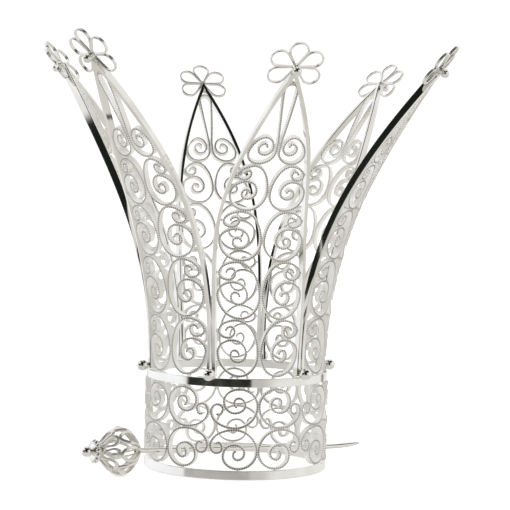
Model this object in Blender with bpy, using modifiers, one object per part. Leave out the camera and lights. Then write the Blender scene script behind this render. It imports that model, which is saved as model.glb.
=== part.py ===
"""Openwork silver wedding crown for a hair bun, with the hairpin that holds it.

The ring is two plain bands with two rows of C-scrolls between them.  Six lancet petals flare
out from the waist band, each a flat frame filled with four pairs of C-scrolls and a lyre, and
each ends in a five-loop flower with a bead.  A bead covers each foot where two petals meet.
The hairpin runs through the lower lattice and slides out towards its bud.

The origin is on the crown's axis, in the plane that the lower band stands on.  +Z is up and the
front petal is at -Y.  Lattice panels are made flat, as the real filigree is, and then bent.
"""

import math

import bmesh
import bpy
from mathutils import Matrix, Vector

MM = 0.001

# Ring
PETALS = 6
SECTOR = 360.0 / PETALS
FRONT_AZIMUTH = -90.0
LOWER_BAND_RADIUS = 25.0
WAIST_BAND_RADIUS = 24.75
BAND_THICKNESS = 1.0
LOWER_BAND_TOP = 2.4
WAIST_BAND_BOTTOM = 24.4
WAIST_BAND_TOP = 26.7
BAND_SEGMENTS = 36

# Filigree ribbon, standing on edge
RIBBON_THICKNESS = 0.7
RIBBON_DEPTH = 1.35
GAP = 0.3
JOINED = 0.45  # spacing of two soldered ribbons' centre lines
BASE_RADIUS = 24.3  # middle of the ribbon's depth

# Petals
PETAL_FOOT_RADIUS = 23.6
PETAL_HEIGHT = 81.3
FLARE = 29.3
FLARE_POWER = 2.13
FRAME_THICKNESS = 1.05
FRAME_DEPTH = 2.0
FRAME_FOOT = 0.3
OUTLINE_FOOT = (12.55, 0.0)  # control points: half width, distance up the petal
OUTLINE_BELLY = (14.1, 37.2)
OUTLINE_SHOULDER = (14.3, 54.25)
OUTLINE_TIP = (1.1, 85.6)
FRAME_STEPS = 12
TIER_LIMITS = (0.3, 15.7, 31.6, 45.8, 59.3)  # distances up the petal

# The petals are bent by hand, so their tips end at different heights, reaches and sides
TIP_RISE = (-1.1, 0.9, -1.3, -2.1, 1.3, 1.5)
TIP_REACH = (0.0, 0.7, 1.2, 0.0, 0.2, 0.3)
TIP_SHIFT = (0.0, 0.1, -1.4, -0.3, 0.0, 0.1)
MIDDLE_BOW = (-1.4, 0.0, 0.0, 0.0, 0.0, 0.0)  # sideways, halfway up
BEND_POWER = 2.0
BOW_POWER = 4.0

# Lyre at the top of a petal
LYRE_TOP = 67.3
ARCH_TOP = 82.0
ARCH_SPRING = 80.2
ARCH_HALF_WIDTH = 1.4
LEG_END = 65.5
LEG_SHARES = (0.35, 0.7, 1.0)  # stations down the bowed leg

# Flowers
FLOWER_ARC = 88.5
LOOP_DIRECTIONS = (90.0, 30.0, -30.0, 150.0, 210.0)
LOOP_HALF_ANGLE = 23.0
LOOP_START = 1.0
LOOP_END = 7.4
LOOP_STEPS = 5
LOOP_THICKNESS = 0.5
LOOP_DEPTH = 0.9
FLOWER_BEAD_RADIUS = 1.2

# Seam beads
SEAM_BEAD_RADIUS = 1.6
SEAM_BEAD_AXIS_RADIUS = 26.4
SEAM_BEAD_HEIGHT = 27.7

# Hairpin: distances along the pin from the bud's middle, towards the point
ENTRY_AZIMUTH = -156.0
ENTRY_HEIGHT = 6.0
EXIT_AZIMUTH = 6.5
EXIT_HEIGHT = 4.2
BUD_SETBACK = 13.25
SHAFT_RADIUS = 0.7
SHAFT_START = 6.3
NECK_RADIUS = 1.1
NECK_END = 7.6
NECK_SHOULDER = 0.4
TAPER_START = 65.0
POINT_SHARE = 0.7  # of the shaft's radius, where the point starts
POINT_LENGTH = 4.5
TIP_RADIUS = 0.15
TIP_ROUNDING = 0.1
SHAFT_SEGMENTS = 12
PIN_END = 74.2
BUD_RADIUS = 6.2
BUD_FOOT = -5.2
BUD_NECK = 5.6
BUD_SPAN = 6.4
BUD_POWER = 1.8
BUD_LOOPS = 8
SECTOR_OF_BUD = 360.0 / BUD_LOOPS
BUD_RIBBON = 0.6
BUD_DEPTH = 0.8
BUD_LOOP_STEPS = 5
BUD_LOOP_END = 0.6
LEAF_END = -1.9
OVAL_START = -0.9
LOOP_SHARE = 0.42  # half of a bud loop's width in its sector
LEAF_SHAPE = 1.2  # above 1 is widest towards the neck, below 1 towards the collar
OVAL_SHAPE = 0.9
COLLAR_START = -7.5
COLLAR_END = -5.85
COLLAR_RADIUS = 3.3
COLLAR_BEVEL = 0.45
COLLAR_SEGMENTS = 20
END_BALL_RADIUS = 1.5
END_BALL_PLACE = -9.3

# A scroll is given by the points where its wire turns level or upright, from the small coil's
# inner end to the large coil's.  Across: 0 at the outer side, 1 at the middle of the petal.
BASE_SCROLL = (
    (0.12, 0.62), (0.18, 0.67), (0.25, 0.53), (0.13, 0.40), (0.00, 0.59), (0.52, 1.00), (1.00, 0.44),
    (0.60, 0.00), (0.28, 0.31), (0.50, 0.61), (0.74, 0.41), (0.60, 0.23), (0.49, 0.35), (0.56, 0.46),
)
PETAL_SCROLL = (
    (0.21, 0.81), (0.31, 0.88), (0.41, 0.80), (0.25, 0.70), (0.02, 0.80), (0.50, 1.00), (1.00, 0.39),
    (0.50, 0.00), (0.00, 0.42), (0.37, 0.62), (0.71, 0.40), (0.50, 0.25), (0.31, 0.37), (0.42, 0.47),
)
LYRE_SPIRAL = (
    (1.00, 0.47), (0.50, 0.00), (0.00, 0.51), (0.42, 1.00), (0.84, 0.60), (0.60, 0.30), (0.32, 0.58),
    (0.50, 0.76),
)
SCROLL_STEPS = (1, 1, 1, 1, 2, 3, 2, 2, 2, 2, 1, 1, 1)
LYRE_STEPS = (2, 2, 2, 2, 2, 1, 1)

SILVER = (0.86, 0.85, 0.83, 1.0)
ROUGHNESS = 0.15
SHARP_ANGLE = 40.0
EMPTY_SIZE = 0.01


# ---------------------------------------------------------------- curves and surfaces

def turning_curve(stations, steps):
    """Points of a curve that turns level or upright at each station, joined by quarter ellipses."""
    points = [stations[0]]
    upright = True
    for (ax, ay), (bx, by), count in zip(stations, stations[1:], steps):
        for step in range(1, count + 1):
            angle = math.radians(90.0) * step / count
            late, early = 1.0 - math.cos(angle), math.sin(angle)
            if upright:
                points.append((ax + (bx - ax) * late, ay + (by - ay) * early))
            else:
                points.append((ax + (bx - ax) * early, ay + (by - ay) * late))
        upright = not upright
    return points


def bezier(controls, t):
    """Point of a cubic Bezier curve."""
    weights = ((1 - t) ** 3, 3 * (1 - t) ** 2 * t, 3 * (1 - t) * t * t, t ** 3)
    return tuple(sum(w * c[i] for w, c in zip(weights, controls)) for i in (0, 1))


def outline(count):
    """Outer edge of a petal's frame, from its foot to its tip."""
    controls = (OUTLINE_FOOT, OUTLINE_BELLY, OUTLINE_SHOULDER, OUTLINE_TIP)
    return [bezier(controls, i / count) for i in range(count + 1)]


OUTLINE = outline(80)


def half_width(arc):
    """Outer half width of a petal at a distance up it."""
    for (x0, y0), (x1, y1) in zip(OUTLINE, OUTLINE[1:]):
        if arc <= y1:
            return x0 + (x1 - x0) * (arc - y0) / (y1 - y0)
    return OUTLINE[-1][0]


def meridian_table(step=0.25):
    """Arc length, radius, height and lean along the petal's middle line."""
    rows = []
    arc = 0.0
    height = 0.0
    while height < PETAL_HEIGHT + 12.0:
        share = height / PETAL_HEIGHT
        radius = PETAL_FOOT_RADIUS + FLARE * share ** FLARE_POWER
        slope = FLARE * FLARE_POWER / PETAL_HEIGHT * share ** (FLARE_POWER - 1.0)
        rows.append((arc, radius, WAIST_BAND_TOP + height, math.atan(slope)))
        arc += step * math.hypot(1.0, slope)
        height += step
    return rows


MERIDIAN = meridian_table()


def meridian(arc):
    """Radius, height and lean at a distance up the petal."""
    for low, high in zip(MERIDIAN, MERIDIAN[1:]):
        if arc <= high[0]:
            share = (arc - low[0]) / (high[0] - low[0])
            return [a + (b - a) * share for a, b in zip(low[1:], high[1:])]
    return list(MERIDIAN[-1][1:])


def on_petal(petal):
    """Map from a flat petal (across its outer face, up, outward) to the bent one, about +X."""
    def place(point):
        across, arc, outward = point
        radius, height, lean = meridian(arc)
        share = max(arc, 0.0) / FLOWER_ARC
        bend = share ** BEND_POWER
        bow = math.sin(math.pi * min(share, 1.0)) ** BOW_POWER
        turn = across / (radius + FRAME_DEPTH / 2.0)
        reach = radius + outward * math.cos(lean)
        return Vector((
            reach * math.cos(turn) + TIP_REACH[petal] * bend,
            reach * math.sin(turn) + TIP_SHIFT[petal] * bend + MIDDLE_BOW[petal] * bow,
            height - outward * math.sin(lean) + TIP_RISE[petal] * bend,
        ))
    return place


def on_base(point):
    """Map from a flat base panel (across, height, outward) to the ring, centred on +X."""
    across, height, outward = point
    turn = across / BASE_RADIUS
    reach = BASE_RADIUS + outward
    return Vector((reach * math.cos(turn), reach * math.sin(turn), height))


def bud_radius(place):
    """Radius of the bud's mid surface at a place along the pin."""
    return BUD_RADIUS * (1.0 - (abs(place) / BUD_SPAN) ** BUD_POWER)


def on_bud(point):
    """Map from flat (distance round the bud's waist, place along the pin, outward) to the bud."""
    across, place, outward = point
    slope = (bud_radius(place + 0.05) - bud_radius(place - 0.05)) / 0.1
    tilt = math.atan(slope)
    reach = bud_radius(place) + outward * math.cos(tilt)
    turn = across / BUD_RADIUS
    return Vector((reach * math.cos(turn), reach * math.sin(turn), place - outward * math.sin(tilt)))


# ---------------------------------------------------------------- mesh tools

def fresh_collection(name):
    """A new collection linked to the scene."""
    collection = bpy.data.collections.new(name)
    bpy.context.scene.collection.children.link(collection)
    return collection


def evaluated_mesh(obj):
    """The object's mesh with its modifiers applied; the object is removed."""
    depsgraph = bpy.context.evaluated_depsgraph_get()
    mesh = bpy.data.meshes.new_from_object(obj.evaluated_get(depsgraph))
    bpy.data.objects.remove(obj)
    return mesh


def temporary(data, name="work"):
    """An object for a working step."""
    obj = bpy.data.objects.new(name, data)
    WORKSHOP.objects.link(obj)
    return obj


def edge_strip(points, depth, cyclic):
    """Open ribbon surface that stands on edge along a flat path, in millimetres."""
    curve = bpy.data.curves.new("path", "CURVE")
    curve.dimensions = "2D"
    curve.fill_mode = "NONE"
    curve.extrude = depth / 2.0
    spline = curve.splines.new("POLY")
    spline.points.add(len(points) - 1)
    for slot, (x, y) in zip(spline.points, points):
        slot.co = (x, y, 0.0, 1.0)
    spline.use_cyclic_u = cyclic
    return evaluated_mesh(temporary(curve))


def flat_ribbon(points, depth, thickness, cyclic=False):
    """Solid ribbon along a flat path."""
    obj = temporary(edge_strip(points, depth, cyclic))
    solidify = obj.modifiers.new("thickness", "SOLIDIFY")
    solidify.thickness = thickness
    solidify.offset = 0.0
    solidify.use_even_offset = True
    return outward_faces(evaluated_mesh(obj))


def outward_faces(mesh):
    """Turn a closed mesh's faces outwards and weld it."""
    bm = bmesh.new()
    bm.from_mesh(mesh)
    bmesh.ops.remove_doubles(bm, verts=bm.verts, dist=0.0001)
    bmesh.ops.recalc_face_normals(bm, faces=bm.faces)
    bm.to_mesh(mesh)
    bm.free()
    return mesh


def union(meshes):
    """One body from meshes that overlap."""
    first = temporary(meshes[0])
    others = [temporary(mesh, "joined") for mesh in meshes[1:]]
    for other in others:
        boolean = first.modifiers.new("solder", "BOOLEAN")
        boolean.operation = "UNION"
        boolean.solver = "EXACT"
        boolean.object = other
    mesh = evaluated_mesh(first)
    for other in others:
        bpy.data.objects.remove(other)
    return mesh


def bent(mesh, place, mirrored=False):
    """A copy of a flat mesh with its points placed on a surface, in metres."""
    copy = mesh.copy()
    for vertex in copy.vertices:
        across, up, outward = vertex.co
        vertex.co = place((-across if mirrored else across, up, outward)) * MM
    copy.update()
    return outward_faces(copy)


def silver(name):
    """Polished silver of one piece."""
    material = bpy.data.materials.new(name + "_silver")
    material.use_nodes = True
    shader = material.node_tree.nodes["Principled BSDF"]
    shader.inputs["Base Color"].default_value = SILVER
    shader.inputs["Metallic"].default_value = 1.0
    shader.inputs["Roughness"].default_value = ROUGHNESS
    return material


def add_part(name, mesh, parent, azimuth=0.0, smooth=False):
    """A named piece of the crown, turned to its azimuth about the parent's Z axis."""
    mesh.name = name
    mesh.materials.clear()
    mesh.materials.append(silver(name))
    if smooth:
        mesh.shade_smooth()
        mesh.set_sharp_from_angle(angle=math.radians(SHARP_ANGLE))
    obj = bpy.data.objects.new(name, mesh)
    obj.rotation_euler.z = math.radians(azimuth)
    obj.parent = parent
    CROWN.objects.link(obj)
    return obj


def add_frame(name, matrix):
    """An empty that carries a group of pieces."""
    empty = bpy.data.objects.new(name, None)
    empty.empty_display_size = EMPTY_SIZE
    empty.matrix_world = matrix
    CROWN.objects.link(empty)
    return empty


def turned(profile, segments, closed):
    """Solid turned about Z from (radius, height) points that run down its outer side."""
    mesh = bpy.data.meshes.new("profile")
    count = len(profile)
    edges = [(i, i + 1) for i in range(count - 1)]
    if closed:
        edges.append((count - 1, 0))
    mesh.from_pydata([(r * MM, 0.0, z * MM) for r, z in profile], edges, [])
    obj = temporary(mesh)
    screw = obj.modifiers.new("turned", "SCREW")
    screw.steps = segments
    screw.render_steps = segments
    screw.use_merge_vertices = True
    screw.merge_threshold = 0.00001
    return evaluated_mesh(obj)


def ball(radius, centre, rings=6, segments=8):
    """Closed bead in metres."""
    bm = bmesh.new()
    place = Matrix.Translation(Vector(centre) * MM)
    bmesh.ops.create_uvsphere(bm, u_segments=segments, v_segments=rings, radius=radius * MM, matrix=place)
    mesh = bpy.data.meshes.new("ball")
    bm.to_mesh(mesh)
    bm.free()
    return mesh


# ---------------------------------------------------------------- ring

def band(outer, bottom, top):
    """Plain band of rectangular section."""
    inner = outer - BAND_THICKNESS
    return turned([(outer, top), (outer, bottom), (inner, bottom), (inner, top)], BAND_SEGMENTS, True)


def base_scroll(side, upper):
    """One flat C-scroll of the ring, left (-1) or right (1) of the petal's middle."""
    seam = BASE_RADIUS * math.radians(SECTOR / 2.0) - (GAP + RIBBON_THICKNESS) / 2.0
    middle = JOINED / 2.0
    clear = GAP + RIBBON_THICKNESS / 2.0
    low, high = LOWER_BAND_TOP + clear, WAIST_BAND_BOTTOM - clear
    centre = (low + high) / 2.0
    edge = high if upper else low
    meet = centre + (JOINED / 2.0 if upper else -JOINED / 2.0)
    points = [
        (side * (seam + (middle - seam) * x), edge + (meet - edge) * y)
        for x, y in turning_curve(BASE_SCROLL, SCROLL_STEPS)
    ]
    return flat_ribbon(points, RIBBON_DEPTH, RIBBON_THICKNESS)


def base_panel():
    """The four soldered C-scrolls of one sixth of the ring, flat."""
    return union([base_scroll(side, upper) for upper in (True, False) for side in (-1, 1)])


def build_ring(root):
    """Both bands, the lattice between them and the seam beads."""
    lower = band(LOWER_BAND_RADIUS, 0.0, LOWER_BAND_TOP)
    add_part("lower_rim_band", lower, root, smooth=True)
    waist = band(WAIST_BAND_RADIUS, WAIST_BAND_BOTTOM, WAIST_BAND_TOP)
    add_part("waist_band", waist, root, smooth=True)
    panel = base_panel()
    for i in range(PETALS):
        azimuth = FRONT_AZIMUTH + SECTOR * i
        add_part(f"base_lattice_{i + 1}", bent(panel, on_base), root, azimuth)
        bead = ball(SEAM_BEAD_RADIUS, (SEAM_BEAD_AXIS_RADIUS, 0.0, SEAM_BEAD_HEIGHT))
        add_part(f"seam_bead_{i + 1}", bead, root, azimuth + SECTOR / 2.0, smooth=True)


# ---------------------------------------------------------------- petals

def frame_panel():
    """Flat lancet frame of one petal."""
    rim = [(x - FRAME_THICKNESS / 2.0, y) for x, y in outline(FRAME_STEPS)]
    rim[0] = (rim[0][0], FRAME_FOOT)
    path = rim + [(-x, y) for x, y in reversed(rim)]
    return flat_ribbon(path, FRAME_DEPTH, FRAME_THICKNESS)


def across_petal(share, arc):
    """Ribbon centre line between the frame (0) and the petal's middle (1)."""
    clear = GAP + RIBBON_THICKNESS / 2.0
    outer = half_width(arc) - FRAME_THICKNESS - clear
    inner = (GAP + RIBBON_THICKNESS) / 2.0
    return outer + (inner - outer) * share


def tier_scroll(low, high):
    """One flat C-scroll of a petal, between two distances up it."""
    points = []
    for x, y in turning_curve(PETAL_SCROLL, SCROLL_STEPS):
        arc = low + (high - low) * y
        points.append((across_petal(x, arc), arc))
    return flat_ribbon(points, RIBBON_DEPTH, RIBBON_THICKNESS)


def scroll_column():
    """The four soldered C-scrolls on one side of a petal, flat."""
    half = RIBBON_THICKNESS / 2.0
    limits = [TIER_LIMITS[0] + half] + list(TIER_LIMITS[1:-1]) + [TIER_LIMITS[-1] - GAP - half]
    scrolls = []
    for index, (low, high) in enumerate(zip(limits, limits[1:])):
        start = low if index == 0 else low + JOINED / 2.0
        end = high if index == len(limits) - 2 else high - JOINED / 2.0
        scrolls.append(tier_scroll(start, end))
    return union(scrolls)


def lyre_half():
    """Half of the lyre's path, from the arch's crown down the leg and into its coil."""
    low = TIER_LIMITS[-1] + RIBBON_THICKNESS / 2.0
    points = [(0.0, ARCH_TOP)]
    for step in (1, 2):
        angle = math.radians(45.0) * step
        rise = (ARCH_TOP - ARCH_SPRING) * (1.0 - math.cos(angle))
        points.append((ARCH_HALF_WIDTH * math.sin(angle), ARCH_TOP - rise))
    inner = across_petal(1.0, LEG_END)
    for share in LEG_SHARES:
        bow = math.sin(math.radians(90.0) * share)
        points.append((ARCH_HALF_WIDTH + (inner - ARCH_HALF_WIDTH) * bow,
                       ARCH_SPRING + (LEG_END - ARCH_SPRING) * share))
    for x, y in turning_curve(LYRE_SPIRAL, LYRE_STEPS):
        arc = low + (LYRE_TOP - low) * y
        points.append((across_petal(x, arc), arc))
    return points


def lyre_panel():
    """Flat lyre: an arch whose legs close up and end in two coils."""
    half = lyre_half()
    path = [(-x, y) for x, y in reversed(half[1:])] + half
    return flat_ribbon(path, RIBBON_DEPTH, RIBBON_THICKNESS)


def flower_loop(direction):
    """One flat wire loop of a flower about its hub."""
    half_angle = math.radians(LOOP_HALF_ANGLE)
    middle = LOOP_END / (1.0 + math.sin(half_angle))
    radius = LOOP_END - middle
    start = LOOP_START * math.tan(half_angle)
    sweep = math.radians(90.0) + half_angle
    path = [(LOOP_START, -start)]
    for step in range(LOOP_STEPS + 1):
        angle = sweep * (2.0 * step / LOOP_STEPS - 1.0)
        path.append((middle + radius * math.cos(angle), radius * math.sin(angle)))
    path.append((LOOP_START, start))
    turn = math.radians(direction)
    return [(x * math.cos(turn) - y * math.sin(turn), x * math.sin(turn) + y * math.cos(turn) + FLOWER_ARC)
            for x, y in path]


def flower_panel():
    """Flat flower: five loops joined at the hub."""
    return union([flat_ribbon(flower_loop(d), LOOP_DEPTH, LOOP_THICKNESS, True) for d in LOOP_DIRECTIONS])


def flower_bead(place):
    """Bead on the outer face of a flower."""
    outward = LOOP_DEPTH / 2.0 + GAP + FLOWER_BEAD_RADIUS
    return ball(FLOWER_BEAD_RADIUS, place((0.0, FLOWER_ARC, outward)))


def build_petals(root):
    """Frame, lattice, lyre and flower of each petal."""
    frame, column = frame_panel(), scroll_column()
    lyre, flower = lyre_panel(), flower_panel()
    for i in range(PETALS):
        azimuth = FRONT_AZIMUTH + SECTOR * i
        place = on_petal(i)
        number = i + 1
        add_part(f"petal_frame_{number}", bent(frame, place), root, azimuth)
        add_part(f"petal_scrolls_left_{number}", bent(column, place, True), root, azimuth)
        add_part(f"petal_scrolls_right_{number}", bent(column, place), root, azimuth)
        add_part(f"petal_lyre_{number}", bent(lyre, place), root, azimuth)
        add_part(f"flower_{number}", bent(flower, place), root, azimuth)
        add_part(f"flower_bead_{number}", flower_bead(place), root, azimuth, smooth=True)


# ---------------------------------------------------------------- hairpin

def ring_point(azimuth, height):
    """Point of the lattice ring."""
    turn = math.radians(azimuth)
    return Vector((BASE_RADIUS * math.cos(turn), BASE_RADIUS * math.sin(turn), height))


def pin_matrix():
    """Frame of the pin: origin at the bud's middle, +Z towards the point."""
    entry = ring_point(ENTRY_AZIMUTH, ENTRY_HEIGHT)
    run = (ring_point(EXIT_AZIMUTH, EXIT_HEIGHT) - entry).normalized()
    origin = (entry - run * BUD_SETBACK) * MM
    return Matrix.Translation(origin) @ run.to_track_quat("Z", "Y").to_matrix().to_4x4()


def bud_loop(half_angle, low, high, widest):
    """Flat leaf-shaped loop: distance round the bud against place along the pin."""
    half = BUD_RADIUS * math.radians(half_angle)
    right = [(BUD_LOOP_END, low)]
    for step in range(1, BUD_LOOP_STEPS):
        share = step / BUD_LOOP_STEPS
        right.append((half * math.sin(math.pi * share ** widest), low + (high - low) * share))
    right.append((BUD_LOOP_END, high))
    return flat_ribbon(right + [(-x, y) for x, y in reversed(right)], BUD_DEPTH, BUD_RIBBON, True)


def bud_ring(place):
    """Wire ring that joins one row of loops."""
    half = BUD_RIBBON / 2.0
    radius = bud_radius(place)
    outer, inner = radius + half, radius - half
    corners = [(outer, place + half), (outer, place - half), (inner, place - half), (inner, place + half)]
    return turned(corners, 2 * BUD_LOOPS, True)


def bud_row(loop, ring):
    """A row of loops bent round the bud and joined to their ring."""
    mesh = bent(loop, on_bud)
    copies = []
    for i in range(BUD_LOOPS):
        copy = mesh.copy()
        copy.transform(Matrix.Rotation(math.radians(SECTOR_OF_BUD * i), 4, "Z"))
        copies.append(copy)
    return union([ring] + copies)


def bud_leaves():
    """Leaves of the bud, joined at the collar."""
    loop = bud_loop(SECTOR_OF_BUD * LOOP_SHARE, BUD_FOOT, LEAF_END, LEAF_SHAPE)
    return bud_row(loop, bud_ring(BUD_FOOT))


def bud_ovals():
    """Ovals of the bud, joined at the neck."""
    loop = bud_loop(SECTOR_OF_BUD * LOOP_SHARE, OVAL_START, BUD_NECK, OVAL_SHAPE)
    return bud_row(loop, bud_ring(BUD_NECK))


def shaft():
    """Turned shaft with a flared neck and a long point."""
    profile = [
        (0.0, PIN_END), (TIP_RADIUS, PIN_END - TIP_ROUNDING),
        (SHAFT_RADIUS * POINT_SHARE, PIN_END - POINT_LENGTH),
        (SHAFT_RADIUS, TAPER_START), (SHAFT_RADIUS, NECK_END), (NECK_RADIUS, SHAFT_START + NECK_SHOULDER),
        (NECK_RADIUS, SHAFT_START), (0.0, SHAFT_START),
    ]
    return turned(profile, SHAFT_SEGMENTS, False)


def collar():
    """Turned collar with a grooved rim."""
    middle = (COLLAR_START + COLLAR_END) / 2.0
    bevel = COLLAR_BEVEL
    profile = [
        (0.0, COLLAR_END), (COLLAR_RADIUS - bevel, COLLAR_END), (COLLAR_RADIUS, COLLAR_END - bevel / 2.0),
        (COLLAR_RADIUS - bevel / 2.0, middle), (COLLAR_RADIUS, COLLAR_START + bevel / 2.0),
        (COLLAR_RADIUS - bevel, COLLAR_START), (0.0, COLLAR_START),
    ]
    return turned(profile, COLLAR_SEGMENTS, False)


def build_pin(root):
    """The hairpin's pieces on its own frame, which lies on the sliding axis."""
    frame = add_frame("hairpin_frame", pin_matrix())
    frame.parent = root
    add_part("pin_shaft", shaft(), frame, smooth=True)
    add_part("pin_bud_leaves", bud_leaves(), frame)
    add_part("pin_bud_ovals", bud_ovals(), frame)
    add_part("pin_collar", collar(), frame, smooth=True)
    add_part("pin_end_ball", ball(END_BALL_RADIUS, (0.0, 0.0, END_BALL_PLACE)), frame, smooth=True)


for old in list(bpy.data.objects):
    bpy.data.objects.remove(old)
CROWN = fresh_collection("crown")
WORKSHOP = fresh_collection("workshop")
crown_root = add_frame("crown_frame", Matrix.Identity(4))
build_ring(crown_root)
build_petals(crown_root)
build_pin(crown_root)
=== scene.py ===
"""Looks of the openwork silver crown and its hairpin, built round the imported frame.

Every scroll, petal frame, flower and bead of the frame is replaced by a finer piece in the same
place: thin ribbon that stands on edge and is milled along its edges, soldered where it touches.
Sizes are in millimetres in the crown's own frame; MM turns them to metres.
"""

import math

import bpy
import numpy as np
from mathutils import Matrix, Vector


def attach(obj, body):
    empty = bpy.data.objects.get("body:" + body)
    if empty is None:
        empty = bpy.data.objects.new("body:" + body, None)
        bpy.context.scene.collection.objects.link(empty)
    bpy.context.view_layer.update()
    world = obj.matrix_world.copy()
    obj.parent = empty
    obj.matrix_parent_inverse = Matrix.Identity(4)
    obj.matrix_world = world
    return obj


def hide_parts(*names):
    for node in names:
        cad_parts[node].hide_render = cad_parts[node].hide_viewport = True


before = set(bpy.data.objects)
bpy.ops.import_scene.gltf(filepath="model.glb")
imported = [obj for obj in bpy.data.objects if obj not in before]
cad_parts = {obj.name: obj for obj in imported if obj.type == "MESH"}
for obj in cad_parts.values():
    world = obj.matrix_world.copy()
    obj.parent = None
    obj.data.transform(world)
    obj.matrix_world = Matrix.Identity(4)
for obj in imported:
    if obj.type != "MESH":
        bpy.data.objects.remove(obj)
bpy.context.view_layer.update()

MM = 0.001

# Ring
PETALS = 6
SECTOR = 360.0 / PETALS
FRONT_AZIMUTH = -90.0
LOWER_BAND_RADIUS = 25.0
WAIST_BAND_RADIUS = 24.75
BAND_THICKNESS = 1.0
LOWER_BAND_TOP = 2.4
WAIST_BAND_BOTTOM = 24.4
WAIST_BAND_TOP = 26.7
BAND_EDGE = 0.12  # how far the bands' edges are softened
BAND_SEGMENTS = 192
BASE_RADIUS = 24.3

# Facets round a turned piece
BALL_SEGMENTS = 28
CUP_SEGMENTS = 20
SHAFT_SEGMENTS = 24
DISC_SEGMENTS = 32
BLOB_SEGMENTS = 10
GRANULE_SEGMENTS = 14

# Ribbon of the scrolls
RIBBON_THICKNESS = 0.6
RIBBON_DEPTH = 1.7
MILL_PITCH = 0.62
MILL_DEPTH = 0.13
EDGE_BEVEL = 0.13
RIDGE_TARNISH = 0.05
EDGE_MATT = 0.2
CLEAR = 0.5  # from a neighbour's face to the ribbon's centre line
PAIR_OFFSET = 0.42  # from the middle of a petal to its nearest ribbon
TIER_JOIN = 0.25  # from the line between two tiers to the ribbon
SOLDER = (0.3, 0.42, 0.5)  # half sizes of a blob: across the joint, along it, outward

# Petals
PETAL_FOOT_RADIUS = 23.6
PETAL_HEIGHT = 81.3
FLARE = 29.3
FLARE_POWER = 2.13
FRAME_THICKNESS = 1.05
FRAME_DEPTH = 2.0
WIDE_BEVEL = 0.14  # edges of the frame strip and of the flowers' wire
FRAME_FOOT = 0.3
OUTLINE = ((12.55, 0.0), (14.1, 37.2), (14.3, 54.25), (1.1, 85.6))
FRAME_APEX = 87.7
TIER_LIMITS = (0.3, 15.7, 31.6, 45.8, 59.3)
TIP_RISE = (-1.1, 0.9, -1.3, -2.1, 1.3, 1.5)  # the hand-bent petals differ a little
TIP_REACH = (0.0, 0.7, 1.2, 0.0, 0.2, 0.3)
TIP_SHIFT = (0.0, 0.1, -1.4, -0.3, 0.0, 0.1)
MIDDLE_BOW = (-1.4, 0.0, 0.0, 0.0, 0.0, 0.0)
BEND_POWER = 2.0
BOW_POWER = 4.0
FLOWER_ARC = 88.5

# Lyre
LYRE_TOP = 67.3
ARCH_TOP = 83.5
ARCH_SPRING = 81.3
ARCH_HALF_WIDTH = 1.7
LEG_END = 66.0
LEG_HALF_GAP = 0.4
LEG_BOW = 1.3

# Flowers
LOOP_DIRECTIONS = (90.0, 30.0, -30.0, 150.0, 210.0)
LOOP_HALF_ANGLE = 27.0
LOOP_START = 0.7
LOOP_END = 7.4
LOOP_THICKNESS = 0.5
LOOP_DEPTH = 0.9
FLOWER_MATT = 0.12
FLOWER_BEAD_RADIUS = 1.2
FLOWER_BEAD_LIFT = 0.25
FLOWER_CUP = ((0.9, -0.3), (1.05, 0.0), (1.05, 0.35), (0.95, 0.6))  # (radius, place along its axis)

# Seam beads
SEAM_BEAD_RADIUS = 1.6
SEAM_BEAD_AXIS_RADIUS = 26.4
SEAM_BEAD_HEIGHT = 27.7
SEAM_CUP = ((1.0, -1.75), (0.95, -1.45), (0.75, -1.25), (0.6, -1.1))

# Hairpin: places are along it, from the bud's middle towards the point
ENTRY_AZIMUTH = -156.0
ENTRY_HEIGHT = 6.0
EXIT_AZIMUTH = 6.5
EXIT_HEIGHT = 4.2
BUD_SETBACK = 13.25
SHAFT_RADIUS = 0.7
SHAFT_START = 5.4
SHAFT_NECK = ((0.5, 0.0), (1.1, 0.2), (1.1, 0.7), (0.8, 0.95))  # (radius, place from its start)
NECK_END = 7.4
TAPER_START = 68.0
TIP_RADIUS_SHARE = 0.25
TIP_BLUNT = 0.12
PIN_END = 75.2
POINT_BEND_START = 64.0
POINT_LIFT = 1.0  # the pin's point is bent up a little,
POINT_SIDE = -0.8  # and sideways, so that it slides out without touching the lattice
BUD_RADIUS = 6.15
BUD_SPAN = 6.4
BUD_POWER = 1.8
BUD_WIDEST = 0.5
BUD_FOOT = -5.2
BUD_MEET = -1.7  # where the leaves touch the ovals
BUD_GAP = 0.25
BUD_NECK = 5.6
BUD_LOOPS = 8
BUD_SECTOR = 360.0 / BUD_LOOPS
BUD_RIBBON = 0.92
BUD_DEPTH = 0.9
BUD_BEVEL = 0.2
BUD_MATT = 0.25
BUD_RING_WIRE = 0.4
LEAF_PINCH, LEAF_POWER = 0.5, 0.45
OVAL_PINCH, OVAL_POWER = 0.4, 0.25
COLLAR_PLACE = -7.0
COLLAR_RADIUS = 3.3
COLLAR_DISC = ((0.9, -0.75), (2.2, -0.55), (2.45, 0.0), (2.3, 0.5), (1.9, 1.5))
COLLAR_RINGS = ((-0.4, 2.3), (0.65, 2.4))  # place from the collar's middle, radius
COLLAR_WIRE = 0.3
GRANULES = 13
GRANULE_RADIUS = 0.72
GRANULE_OFFSET = 0.1
END_BALL_RADIUS = 1.5
END_BALL_PLACE = -9.1
END_BALL_NECK = ((0.75, 1.25), (0.65, 1.5), (0.85, 1.8))

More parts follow.
